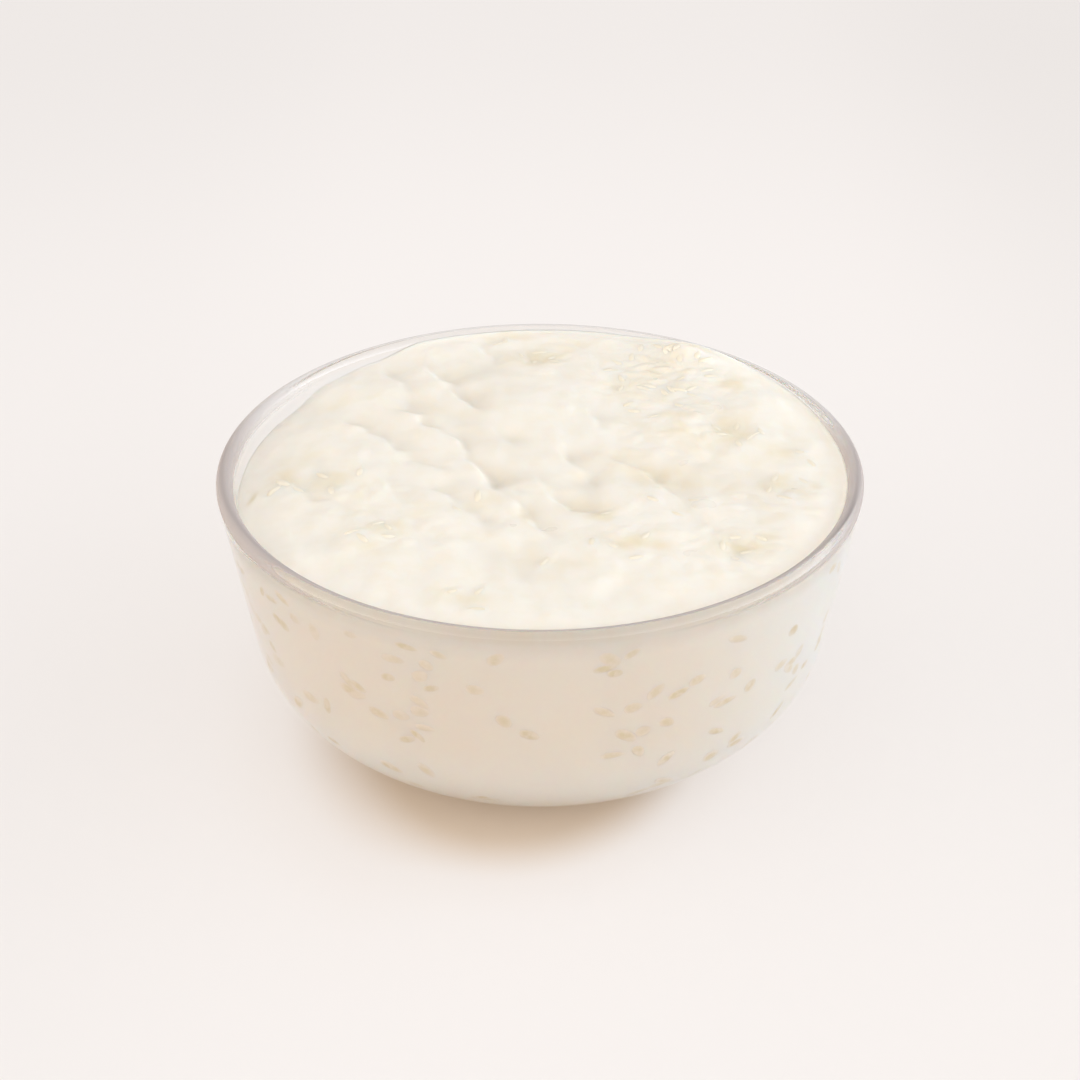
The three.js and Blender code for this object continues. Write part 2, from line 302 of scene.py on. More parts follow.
class NodeKit:
    """Builds the node tree of one material, or of the sky."""

    def __init__(self, owner):
        self.owner = owner
        owner.use_nodes = True
        self.tree = owner.node_tree
        self.tree.nodes.clear()

    def node(self, kind, settings=None, sockets=None):
        """Any node: its type, its settings and the values or links of its sockets."""
        made = self.tree.nodes.new(kind)
        for name, setting in (settings or {}).items():
            if name == "stops":
                set_stops(made.color_ramp, setting)
            else:
                setattr(made, name, setting)
        for key, given in (sockets or {}).items():
            if isinstance(given, Value):
                self.tree.links.new(given.socket, made.inputs[key])
            else:
                made.inputs[key].default_value = given
        return NodeHandle(self, made)

    def attribute(self, name):
        return self.node("ShaderNodeAttribute", {"attribute_name": name}).value("Fac")

    def coordinates(self):
        return self.node("ShaderNodeTexCoord").value("Object")

    def rise(self, value, low, high):
        """Smooth step of a value from 0 at low to 1 at high."""
        settings = {"interpolation_type": "SMOOTHSTEP"}
        sockets = {"Value": value, "From Min": low, "From Max": high}
        return self.node("ShaderNodeMapRange", settings, sockets).value("Result")

    def length(self, vector):
        node = self.node("ShaderNodeVectorMath", {"operation": "LENGTH"}, {0: vector})
        return node.value("Value")

    def facing(self, direction, axis):
        """How far a vector runs along an axis of unit length."""
        node = self.node(
            "ShaderNodeVectorMath", {"operation": "DOT_PRODUCT"}, {0: direction, 1: axis})
        return node.value("Value")

    def towards(self, axis, span):
        """Rises from 0 to 1 along an axis, over a span in metres from the middle of the base."""
        return self.rise(self.facing(self.coordinates(), axis), *span)

    def noise(self, scale, detail, roughness=0.5):
        """Noise in object space; scale is in waves for each metre."""
        sockets = {"Vector": self.coordinates(), "Scale": scale, "Detail": detail,
                   "Roughness": roughness}
        return self.node("ShaderNodeTexNoise", None, sockets).value("Fac")

    def ramp(self, factor, *stops):
        return self.node("ShaderNodeValToRGB", {"stops": stops}, {"Fac": factor}).value("Color")

    def mix(self, factor, first, second):
        sockets = {"Factor": factor, 6: rgba(first), 7: rgba(second)}
        made = self.node("ShaderNodeMix", {"data_type": "RGBA"}, sockets)
        return Value(self, made.raw.outputs[2])

    def bump(self, height, distance, strength):
        sockets = {"Height": height, "Distance": distance, "Strength": strength}
        return self.node("ShaderNodeBump", None, sockets).value("Normal")

    def principled(self, **inputs):
        sockets = {name.replace("_", " "): given for name, given in inputs.items()}
        return self.node("ShaderNodeBsdfPrincipled", None, sockets).value("BSDF")

    def blend(self, factor, first, second):
        """Mixes two shaders."""
        sockets = {0: factor, 1: first, 2: second}
        return self.node("ShaderNodeMixShader", None, sockets).value("Shader")

    def end(self, shader):
        self.node("ShaderNodeOutputMaterial", None, {"Surface": shader})

    def surface(self, **inputs):
        """Ends the tree with one principled shader."""
        self.end(self.principled(**inputs))
        return self.owner


def set_stops(ramp, stops):
    while len(ramp.elements) > 1:
        ramp.elements.remove(ramp.elements[0])
    ramp.elements[0].position = stops[0][0]
    ramp.elements[0].color = rgba(stops[0][1])
    for position, colour in stops[1:]:
        ramp.elements.new(position).color = rgba(colour)


def rgba(colour):
    if isinstance(colour, Value):
        return colour
    if isinstance(colour, (int, float)):
        return (colour, colour, colour, 1.0)
    return (*colour[:3], 1.0)


# ---------------------------------------------------------------- forms shared by the pieces

def smoothstep(low, high, value):
    share = np.clip((value - low) / (high - low), 0, 1)
    return share * share * (3 - 2 * share)


def random_source(seed):
    """Park-Miller generator: the same draws as the solid's own grains."""
    state = seed
    while True:
        state = (state * DRAW_FACTOR) % DRAW_LIMIT
        yield state / DRAW_LIMIT


class WallCurve:
    """The bowl's wall, set in from its outer face: a straight wall over an elliptical belly."""

    def __init__(self, sizes, inset=0.0):
        self.sizes = sizes
        self.slope = sizes.wall_slope
        self.width = sizes.belly_width / MM - inset
        self.height = sizes.belly_height / MM - inset
        self.middle = sizes.belly_height / MM
        self.top = math.atan(-self.slope * self.height / self.width)
        self.top_level = self.middle + self.height * math.sin(self.top)
        self.base_radius = self.find_base_radius()

    def find_base_radius(self):
        width = self.sizes.belly_width / MM
        height = self.sizes.belly_height / MM
        top = math.atan(-self.slope * height / width)
        lip_level = (self.sizes.height - self.sizes.wall / 2) / MM
        straight = lip_level - self.middle - height * math.sin(top)
        return self.sizes.rim_radius / MM - self.slope * straight - width * math.cos(top)

    def radius(self, level):
        """Radius of the straight wall at a level."""
        foot = self.base_radius + self.width * math.cos(self.top)
        return foot + self.slope * (level - self.top_level)

    def belly(self, share):
        """Point of the belly; share runs from 0 at the base to 1 at the straight wall."""
        angle = -math.pi / 2 + (self.top + math.pi / 2) * share
        radius = self.base_radius + self.width * math.cos(angle)
        return radius, self.middle + self.height * math.sin(angle)


def cream_wall(sizes, bowl):
    """The inner face of the glass, with the cream pressed a little way into it."""
    return WallCurve(bowl, bowl.wall / MM - sizes.press / MM)


def edge_level(degrees):
    """Level of the pudding along the glass."""
    level = np.full(degrees.shape, EDGE_LEVELS[0][1], dtype=float)
    for (low, low_level), (high, high_level) in zip(EDGE_LEVELS, EDGE_LEVELS[1:]):
        inside = (degrees > low) & (degrees <= high)
        blend = low_level + (high_level - low_level) * smoothstep(low, high, degrees)
        level = np.where(inside, blend, level)
    return level


def crest_distance(crest, x, y):
    """Signed distance from a fold's crest, positive behind it, and distance inside its ends."""
    best = np.full(x.shape, np.inf)
    signed = np.zeros(x.shape)
    inside = np.zeros(x.shape)
    lengths = [math.dist(start, end) for start, end in zip(crest, crest[1:])]
    before = 0
    for (ax, ay), (bx, by), length in zip(crest, crest[1:], lengths):
        along = ((bx - ax) * (x - ax) + (by - ay) * (y - ay)) / length
        across = ((bx - ax) * (y - ay) - (by - ay) * (x - ax)) / length
        reach = np.hypot(across, np.maximum(0, np.maximum(-along, along - length)))
        run = before + along
        beyond = (run < 0) | (run > sum(lengths))
        nearer = reach < best
        signed = np.where(nearer, np.where(beyond, across, np.sign(across) * reach), signed)
        inside = np.where(nearer, np.minimum(run, sum(lengths) - run), inside)
        best = np.where(nearer, reach, best)
        before += length
    return signed, inside


def fold_height(fold, x, y):
    """Height of one fold, and the shade that lies behind its crest."""
    crest, drop, front, back = fold
    swayed_x = x + FOLD_SWAY * np.sin(2 * math.pi * y / FOLD_SWAY_PITCH)
    swayed_x = swayed_x + FOLD_LUMP * unevenness(x, y, FOLD_LUMP_PITCH, FOLD_LUMP_SEEDS[0])
    swayed_y = y + FOLD_SWAY * np.sin(2 * math.pi * x / FOLD_SWAY_PITCH)
    swayed_y = swayed_y + FOLD_LUMP * unevenness(x, y, FOLD_LUMP_PITCH, FOLD_LUMP_SEEDS[1])
    across, inside = crest_distance(crest, swayed_x, swayed_y)
    behind = smoothstep(-FOLD_EDGE / 2, FOLD_EDGE / 2, across)
    rise = FOLD_RISE * np.exp(-np.abs(across) / front)
    fall = (1 - FOLD_RISE) * np.exp(-np.abs(across) / back)
    uneven = 1 + FOLD_BREAK * unevenness(x, y, FOLD_BREAK_PITCH, FOLD_BREAK_SEED)
    depth = drop * FOLD_DEPTH * uneven * smoothstep(-FOLD_TAPER, FOLD_TAPER, inside)
    shade = smoothstep(*FOLD_SHADE_EDGE, across) * np.exp(-np.maximum(across, 0) / back)
    return depth * ((1 - behind) * rise - behind * fall), depth * shade


def mound_height(mound, x, y):
    """Smooth round mound: the place and height of its top, and its radius."""
    cx, cy, radius, height = mound
    return height * np.exp(-((x - cx) ** 2 + (y - cy) ** 2) / radius ** 2)


def unevenness(x, y, pitch, seed):
    """Smooth uneven field, about -1 to 1, with roughly one wave for each pitch."""
    turns = np.random.default_rng(seed).uniform(0, 2 * math.pi, (UNEVEN_CELLS, UNEVEN_CELLS))
    u, v = x / pitch + UNEVEN_CELLS / 2, y / pitch + UNEVEN_CELLS / 2
    column, row = np.floor(u).astype(int), np.floor(v).astype(int)
    u, v = u - column, v - row
    total = np.zeros(np.shape(x))
    for right, up in ((0, 0), (1, 0), (0, 1), (1, 1)):
        turn = turns[column + right, row + up]
        share = smoothstep(0, 1, 1 - np.abs(u - right)) * smoothstep(0, 1, 1 - np.abs(v - up))
        total = total + share * (np.cos(turn) * (u - right) + np.sin(turn) * (v - up))
    return UNEVEN_GAIN * total


def surface_height(sizes, x, y, wall_gap):
    """Height of the pudding's surface, with its folds, mounds and swell, and the painted shade of
    its hollows.
    """
    edge = edge_level(np.degrees(np.arctan2(y, x)))
    crown = sizes.crown_level / MM
    level = edge + (crown - edge) * (1 - np.exp(-wall_gap / (sizes.shoulder / MM)))
    relief = sum(mound_height(mound, x, y) for mound in MOUNDS + POCKETS)
    for height, pitch, seed in SWELLS:
        relief = relief + height * unevenness(x, y / SWELL_LENGTH, pitch, seed)
    # painted shade: where the relief sinks, and behind each fold's crest
    hollow = smoothstep(*HOLLOW_DEPTHS, -relief)
    for fold in FOLDS:
        height, shade = fold_height(fold, x, y)
        relief = relief + height
        hollow = hollow + FOLD_SHADE * shade
    calm = smoothstep(0, sizes.calm_edge / MM, wall_gap)
    return level + calm * relief, np.clip(calm * hollow, 0, 1)


def grain_places():
    """Every grain that stands out of the surface: x, y, turn, size, lift and tone."""
    draw = random_source(GRAIN_SEED)
    places = []
    for cx, cy, radius, count in RICE_PATCHES:
        for index in range(count):
            bearing = 2 * math.pi * (index + GRAIN_SCATTER * next(draw)) / count
            reach = radius * math.sqrt(GRAIN_MIDDLE + (1 - GRAIN_MIDDLE) * next(draw))
            turn = math.pi * next(draw)
            size = GRAIN_LEAST_SIZE + GRAIN_SIZE_SPREAD * next(draw)
            place = Vector((cx + reach * math.cos(bearing), cy + reach * math.sin(bearing)))
            place = place.normalized() * min(place.length, GRAIN_LIMIT)
            places.append((place.x, place.y, turn, size, GRAIN_COLLAR, 0.0))
    return places


def add_object(name, data):
    """Puts an object with this data into the scene."""
    added = bpy.data.objects.new(name, data)
    bpy.context.scene.collection.objects.link(added)
    return added


def add_mesh(name, bm, material):
    """Puts a bmesh in metres into the scene."""
    mesh = bpy.data.meshes.new(name)
    bm.to_mesh(mesh)
    bm.free()
    mesh.materials.append(material)
    return add_object(name, mesh)


def finish_piece(name, bm, material, node):
    """Turns a bmesh in millimetres into a finished piece of the object."""
    bmesh.ops.transform(bm, matrix=Matrix.Scale(MM, 4), verts=bm.verts)
    piece = add_mesh(name, bm, material)
    piece.data.shade_smooth()
    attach(piece, BODY)
    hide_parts(node)
    return piece


def set_attribute(mesh, name, values):
    mesh.attributes.new(name, "FLOAT", "POINT").data.foreach_set("value", values)


# ---------------------------------------------------------------- glass bowl

LIP_STEPS = 24
BELLY_STEPS = 28
GLASS_IOR = 1.47
LIP_PAINTED_REFLECTION = 0.9              # how much painted reflection covers the thick lip where it is seen at a slant
LIP_SLANTS = (0.3, 0.52)    # slants where the painted reflection starts and is full
LIP_HEIGHTS = (0.0708, 0.0728)      # metres, where the thick lip starts and is full
LIP_FRONT = (0.08, 0.092)           # metres to the front
LIP_BACK = (0.0, 0.06)              # metres to the back
LIP_SIDES = (0.05, 0.085)           # metres to the left or the right
REFLECTION_LEFT, REFLECTION_RIGHT, REFLECTION_FRONT = 0.22, -0.03, 0.12   # how much wider the painted reflection is there


def glass_material(colours):
    kit = NodeKit(bpy.data.materials.new("clear_glass"))
    roughness = kit.noise(scale=60, detail=3) * 0.02
    wave = kit.bump(kit.noise(scale=22, detail=1), distance=0.0003, strength=0.12)
    lip = kit.towards(UP, LIP_HEIGHTS)
    front, back = kit.towards(FORWARD, LIP_FRONT), kit.towards(BACKWARD, LIP_BACK)
    left, right = kit.towards(LEFT, LIP_SIDES), kit.towards(RIGHT, LIP_SIDES)
    # painted refraction: the lip's glass is warmer in front, where the cream shows through it
    tint = kit.mix(front, colours.lip, colours.painted_refraction_in_front)
    clear = kit.principled(
        Base_Color=kit.mix(lip, colours.glass, tint), Roughness=roughness, IOR=GLASS_IOR,
        Transmission_Weight=1.0, Normal=wave)
    # painted reflection: a dark matte colour over the thick lip where it is seen at a slant,
    # lighter at the back and warm in front
    edge = kit.mix(back, colours.painted_lip_reflection, colours.painted_lip_reflection_back)
    edge = kit.mix(front, edge, colours.painted_lip_reflection_in_front)
    painted_reflection = kit.principled(
        Base_Color=edge, Roughness=0.3, IOR=GLASS_IOR, Specular_IOR_Level=0.0)
    slant = kit.node("ShaderNodeLayerWeight", None, {"Blend": 0.5}).value("Facing")
    slant = slant + left * REFLECTION_LEFT + right * REFLECTION_RIGHT + front * REFLECTION_FRONT
    kit.end(kit.blend(lip * kit.rise(slant, *LIP_SLANTS) * LIP_PAINTED_REFLECTION, clear, painted_reflection))
    return kit.owner


def bowl_profile(sizes):
    """Half section of the bowl, from the middle of its underside to the middle of its inside."""
    outer = WallCurve(sizes)
    wall = sizes.wall / MM
    inner = WallCurve(sizes, wall)
    lean = math.atan(sizes.wall_slope)
    lip_radius = wall / 2
    lip_middle = sizes.rim_radius / MM - lip_radius
    lip_level = sizes.height / MM - lip_radius
    points = [(0, 0)]
    points += [outer.belly(step / BELLY_STEPS) for step in range(BELLY_STEPS + 1)]
    for step in range(LIP_STEPS + 1):
        angle = math.pi * step / LIP_STEPS - lean
        radius = lip_middle + lip_radius * math.cos(angle)
        points.append((radius, lip_level + lip_radius * math.sin(angle)))
    points += [inner.belly(step / BELLY_STEPS) for step in range(BELLY_STEPS, -1, -1)]
    points.append((0, wall))
    return points


def spin_profile(points, segments):
    """Solid of revolution round the upright axis."""
    bm = bmesh.new()
    verts = [bm.verts.new((radius, 0, level)) for radius, level in points]
    edges = [bm.edges.new(pair) for pair in zip(verts, verts[1:])]
    bmesh.ops.spin(
        bm, geom=verts + edges, cent=(0, 0, 0), axis=(0, 0, 1), angle=2 * math.pi,
        steps=segments, use_merge=True)
    bmesh.ops.remove_doubles(bm, verts=bm.verts, dist=0.001)
    bmesh.ops.recalc_face_normals(bm, faces=bm.faces)
    return bm


class RICE_OT_bowl(bpy.types.Operator):
    """Make the clear glass bowl"""

    bl_idname = "rice_pudding.bowl"
    bl_label = "Glass bowl"

    def execute(self, context):
        sizes = context.scene.rice_bowl
        bm = spin_profile(bowl_profile(sizes), sizes.segments)
        material = glass_material(context.scene.rice_colours)
        finish_piece("glass_bowl", bm, material, "bowl")
        return {"FINISHED"}


# ---------------------------------------------------------------- cream

MENISCUS = 0.7              # how high the cream creeps up the glass
MENISCUS_REACH = 1.3
SIDE_STEPS = 5
BELLY_RINGS = 9

# Grains under the cream
UNDER_PITCH = 4.2           # spacing
UNDER_STRAY = 0.45          # share of the spacing that a grain can lie off its place
UNDER_MARGIN = 3            # least distance from the glass
UNDER_LIFT = 0.7            # how high the grains lift the cream where they crowd
UNDER_SIZES, UNDER_LIFTS, UNDER_TONES = (0.8, 1.2), (0.1, 1), (-0.5, 1)
UNDER_SEED = 7
LEAST_CROWD = 0.2
BUMP_WIDER = 1.2            # how much wider than its grain the cream's bump is
BUMP_FALL, BUMP_POWER = 0.8, 1.4

# Where grains crowd under the surface: x, y, radius, share
GRAIN_CROWDS = (
    (34, 52, 22, 1.0), (36, 20, 18, 0.7), (60, -16, 18, 0.7), (48, -42, 16, 0.8),
    (2, 66, 12, 0.8), (-50, -18, 22, 0.45), (-32, -38, 18, 0.45), (24, -38, 16, 0.4),
    (-18, -64, 10, 0.3), (-56, 30, 16, 0.2), (-8, -24, 10, 0.35), (30, -8, 14, 0.4),
)

# Patches where the rice's own colour shows: x, y, half length, half width, turn in degrees, depth
RICE_TINTS = (
    (0, 62, 8, 6, 0, 0.8), (-9, 77, 7, 3, 10, 0.45), (8, 70, 8, 4, 20, 0.4),
    (34, 55, 9, 7, 30, 0.4), (28, 38, 8, 5, 0, 0.3), (44, 66, 4, 3, 0, 0.4),
    (54, 46, 5, 5, 0, 0.8), (51, 18, 6, 10, 0, 0.9), (38, 26, 7, 3, -10, 0.4),
    (36, 16, 12, 5, -20, 0.4), (22, 4, 8, 5, -40, 0.35), (65, 8, 6, 5, 20, 0.7),
    (62, -10, 5, 5, 0, 0.8), (72, -9, 3, 4, 0, 0.6), (50, -42, 9, 5, -20, 0.9),
    (58, -27, 5, 3, 30, 0.3), (24, -41, 10, 4, -10, 0.9), (16, -27, 4, 4, 30, 0.9),
    (-4, -27, 5, 3, -30, 0.5), (-14, -20, 7, 4, 10, 0.4), (-18, -66, 10, 4, 0, 0.6),
    (10, -50, 6, 4, 0, 0.3), (-55, -8, 7, 5, 0, 0.7), (-67, -3, 5, 6, 20, 0.8),
    (-38, -33, 8, 4, 0, 0.5), (-42, -42, 5, 4, 0, 0.6), (-48, -17, 6, 3, 0, 0.3),
    (-76, -9, 1.6, 3, 0, 1.0), (-52, 40, 8, 5, 0, 0.25), (-26, 30, 7, 3, -20, 0.3),
    (31, -6, 13, 7, -20, 0.6), (0, -48, 6, 4, 0, 0.35), (26, 46, 9, 7, 0, 0.45),
    (44, 10, 9, 6, -30, 0.45), (-30, -24, 6, 4, 20, 0.35), (-62, 8, 7, 5, 0, 0.3),
    (12, -22, 7, 4, -10, 0.4), (57, -38, 5, 3, 0, 0.5),
)
TINT_STRENGTH = 0.85
TINT_ON_GRAINS = 0.4        # share of the colour that shows only on the grains
TONE_ON_GRAINS = 0.4        # how strongly a grain's own tone shows
TINT_EDGE = (0.1, 1.4)      # shares of a patch's size where its colour is full and has gone
TINT_BEND = 2.2             # how far the edge of a patch strays
TINT_BEND_PITCH, TINT_BEND_SEEDS = 6, (8, 9)

# Wet places on the cream: x, y, half length, half width
WET_PATCHES = (
    (-7, -35, 7, 5), (38, 52, 12, 12), (44, 32, 9, 8), (56, -45, 8, 5), (67, -14, 5, 5),
    (42, -22, 5, 4), (40, 0, 5, 4), (38, -46, 4, 3), (1, -33, 5, 2),
)
WET_EDGE = (0.6, 1.2)       # shares of a place's size where it is fully wet and dry again
WET_RICE = 0.7              # how wet the rice's own colour is

# Painted light: paler cream along the rim, where the surface lies in shade, least in front and
# behind and most at the left
RIM_BAND = 14
RIM_LEAST, RIM_AT_SIDES, RIM_AT_LEFT = 0.15, 0.35, 0.3

# Painted light on the cream behind the glass, in metres from the axis or above the base
SIDE_MIDDLE = 0.012         # how far to the left of the axis the warm front has its middle
SIDE_SQUARES = (0.001, 0.0075)  # squares of the distances where it starts to pale and is pale
SIDE_LOW = (0.0, 0.04)
SIDE_FRONT = (0.02, 0.06)
UNDER_LIP_HEIGHTS = (0.0685, 0.0705)


def disc_point(u, v):
    """Maps the square -1..1 onto the unit disc, with nearly even spacing."""
    return u * np.sqrt(1 - v * v / 2), v * np.sqrt(1 - u * u / 2)


def crowding(x, y):
    """How much the grains crowd at a point, from 0 to 1."""
    share = np.full(np.shape(x), LEAST_CROWD)
    for crowd in GRAIN_CROWDS:
        share = np.maximum(share, mound_height(crowd, x, y))
    return share


def scattered_grains(radius, seed):
    """A jittered grid of grains over the disc: x, y, turn, size, lift and tone."""
    draw = np.random.default_rng(seed)
    steps = int(radius / UNDER_PITCH) + 1
    places = []
    for row in range(-steps, steps + 1):
        for column in range(-steps, steps + 1):
            x = column + 0.5 * (row % 2) + draw.uniform(-UNDER_STRAY, UNDER_STRAY)
            y = row + draw.uniform(-UNDER_STRAY, UNDER_STRAY)
            x, y = x * UNDER_PITCH, y * UNDER_PITCH
            turn = draw.uniform(0, math.pi)
            size, lift, tone = (
                draw.uniform(*span) for span in (UNDER_SIZES, UNDER_LIFTS, UNDER_TONES))
            if math.hypot(x, y) < radius - UNDER_MARGIN:
                crowd = float(crowding(x, y))
                places.append((x, y, turn, size, lift * crowd, max(tone, 0) * crowd))
    return places


def grain_bump(x, y, place, length, width):
    """Rounded bump in the shape of a grain, and the points that it reaches."""
    gx, gy, turn, size = place[:4]
    near = np.nonzero((np.abs(x - gx) < length) & (np.abs(y - gy) < length))[0]
    dx, dy = x[near] - gx, y[near] - gy
    along = (dx * math.cos(turn) + dy * math.sin(turn)) / (length * size / 2)
    across = (dy * math.cos(turn) - dx * math.sin(turn)) / (width * size / 2)
    reach = along ** 2 + across ** 2
    return near, np.exp(-BUMP_FALL * reach ** BUMP_POWER)


def rice_relief(sizes, x, y, radius):
    """Lift of the cream over the grains, their colour through it and their outline."""
    length, width = sizes.grain_length / MM, sizes.grain_width / MM * BUMP_WIDER
    lift = np.zeros(x.shape)
    tone = np.zeros(x.shape)
    outline = np.zeros(x.shape)
    for place in scattered_grains(radius, UNDER_SEED) + grain_places():
        near, bump = grain_bump(x, y, place, length, width)
        lift[near] = np.maximum(lift[near], place[4] * bump)
        tone[near] = np.maximum(tone[near], place[5] * bump)
        outline[near] = np.maximum(outline[near], bump)
    return UNDER_LIFT * lift, tone, outline


def tint_depth(x, y):
    """How deep the rice's colour is at a point."""
    bent_x = x + TINT_BEND * unevenness(x, y, TINT_BEND_PITCH, TINT_BEND_SEEDS[0])
    bent_y = y + TINT_BEND * unevenness(x, y, TINT_BEND_PITCH, TINT_BEND_SEEDS[1])
    depth = np.zeros(x.shape)
    for cx, cy, length, width, turn, strength in RICE_TINTS:
        cos, sin = math.cos(math.radians(turn)), math.sin(math.radians(turn))
        dx, dy = bent_x - cx, bent_y - cy
        reach = np.hypot((dx * cos + dy * sin) / length, (dy * cos - dx * sin) / width)
        depth = np.maximum(depth, strength * (1 - smoothstep(*TINT_EDGE, reach)))
    return TINT_STRENGTH * depth


def side_colour(kit, colours):
    """Colour of the cream behind the glass, with painted light: warm in front, paler low down and
    at the sides.
    """
    across = kit.facing(kit.coordinates(), RIGHT) + SIDE_MIDDLE
    to_sides = kit.rise(across * across, *SIDE_SQUARES)
    side = kit.mix(to_sides, colours.cream_at_glass_with_painted_light, colours.painted_light_at_sides)
    side = kit.mix(kit.towards(UP, SIDE_LOW), colours.painted_light_at_sides, side)
    cloud = kit.ramp(kit.noise(scale=45, detail=3), (0.4, 0), (0.62, 0.25))
    side = kit.mix(cloud, side, colours.painted_lip_light_and_mottle)
    # painted light along the lip in front, against the shade that the lip casts
    under_lip = kit.towards(UP, UNDER_LIP_HEIGHTS) * kit.towards(FORWARD, SIDE_FRONT)
    return kit.mix(under_lip, side, colours.painted_lip_light_and_mottle)


def cream_material(colours):
    kit = NodeKit(bpy.data.materials.new("cream"))
    broad = kit.noise(scale=45, detail=3)
    cream = kit.mix(broad * 0.35, colours.cream, tuple(c * 0.97 for c in colours.cream))
    # painted shade in the hollows and behind the fold crests
    cream = kit.mix(kit.attribute("hollow"), cream, colours.hollow)
    speckle = kit.ramp(kit.noise(scale=150, detail=4, roughness=0.6), (0.45, 0), (0.72, 0.5))
    between = tuple((c + r) / 2 for c, r in zip(colours.cream, colours.rice))
    cream = kit.mix(speckle, cream, between)
    # painted light along the rim
    cream = kit.mix(kit.attribute("by_rim"), cream, colours.painted_light_by_rim)
    # painted light on the cream behind the glass
    cream = kit.mix(kit.attribute("behind_glass"), cream, side_colour(kit, colours))
    colour = kit.mix(kit.attribute("rice_shows"), cream, colours.rice)
    normal = kit.bump(kit.noise(scale=330, detail=3), distance=0.0003, strength=0.12)
    dry = kit.noise(scale=120, detail=2) * 0.2 + 0.5
    roughness = kit.attribute("wet") * -0.32 + dry
    return kit.surface(
        Base_Color=colour, Roughness=roughness, IOR=1.4, Subsurface_Weight=0.5,
        Subsurface_Radius=(1.0, 0.7, 0.48), Subsurface_Scale=0.003, Normal=normal)


def wetness(x, y):
    """Where the cream is wet and shines, from 0 to 1."""
    wet = np.zeros(x.shape)
    for cx, cy, length, width in WET_PATCHES:
        reach = np.hypot((x - cx) / length, (y - cy) / width)
        wet = np.maximum(wet, 1 - smoothstep(*WET_EDGE, reach))
    return wet


def top_heights(sizes, bowl, x, y, full):
    """Height of the surface with its rice and its rim, the rice's colours, and the painted shade
    of the hollows.
    """
    gap = np.maximum(full - np.hypot(x, y), 0)
    calm = smoothstep(0, sizes.calm_edge / MM, gap)
    lift, tone, outline = rice_relief(sizes, x, y, bowl.rim_radius / MM)
    creep = MENISCUS * np.exp(-gap / MENISCUS_REACH)
    height, hollow = surface_height(sizes, x, y, gap)
    return height + calm * lift + creep, tone, outline, hollow


def shape_top(bm, sizes, bowl):
    """Bends a square grid into the surface. Returns what its colours and its shine follow."""
    flat = np.array([vert.co[:2] for vert in bm.verts])
    u, v = disc_point(flat[:, 0], flat[:, 1])
    angle = np.arctan2(v, u)
    inner = cream_wall(sizes, bowl)
    full = inner.radius(edge_level(np.degrees(angle)) + MENISCUS)
    x, y = u * full, v * full
    height, tone, outline, hollow = top_heights(sizes, bowl, x, y, full)
    across = np.cos(angle)
    # painted light along the rim, most at the sides and the left
    paler = RIM_LEAST + RIM_AT_SIDES * across ** 2 + RIM_AT_LEFT * np.maximum(-across, 0)
    by_rim = paler * (1 - smoothstep(0, RIM_BAND, full - np.hypot(x, y)))
    for vert, co in zip(bm.verts, np.column_stack((x, y, height))):
        vert.co = co
    tint = tint_depth(x, y) * (1 - TINT_ON_GRAINS * (1 - outline))
    rice = np.clip(tint + TONE_ON_GRAINS * tone, 0, 1)
    wet = np.maximum(wetness(x, y), WET_RICE * rice)
    return {"rice_shows": rice, "wet": wet, "hollow": hollow, "by_rim": by_rim}


def side_points(step, inner, start):
    """Where a vertex of the top edge goes on the side's ring number step."""
    angle = math.atan2(start.y, start.x)
    if step <= SIDE_STEPS:
        level = start.z + (inner.top_level - start.z) * step / SIDE_STEPS
        radius = inner.radius(level)
    else:
        radius, level = inner.belly(1 - (step - SIDE_STEPS) / BELLY_RINGS)
    return Vector((radius * math.cos(angle), radius * math.sin(angle), level))


def add_side(bm, sizes, bowl):
    """Extrudes the edge of the surface down beside the glass and closes it underneath."""
    inner = cream_wall(sizes, bowl)
    ring = [edge for edge in bm.edges if edge.is_boundary]
    starts = {}
    for step in range(1, SIDE_STEPS + BELLY_RINGS + 1):
        old = {vert for edge in ring for vert in edge.verts}
        starts = starts or {vert: vert.co.copy() for vert in old}
        made = bmesh.ops.extrude_edge_only(bm, edges=ring)["geom"]
        edges = [item for item in made if isinstance(item, bmesh.types.BMEdge)]
        ring = [edge for edge in edges if edge.is_boundary]
        moved = {}
        for vert in {vert for edge in ring for vert in edge.verts}:
            above = next(e.other_vert(vert) for e in vert.link_edges if e.other_vert(vert) in old)
            moved[vert] = starts[above]
            vert.co = side_points(step, inner, moved[vert])
        starts = moved
    made = bmesh.ops.extrude_edge_only(bm, edges=ring)["geom"]
    last = [item for item in made if isinstance(item, bmesh.types.BMVert)]
    bmesh.ops.pointmerge(bm, verts=last, merge_co=(0, 0, bowl.wall / MM - sizes.press / MM))


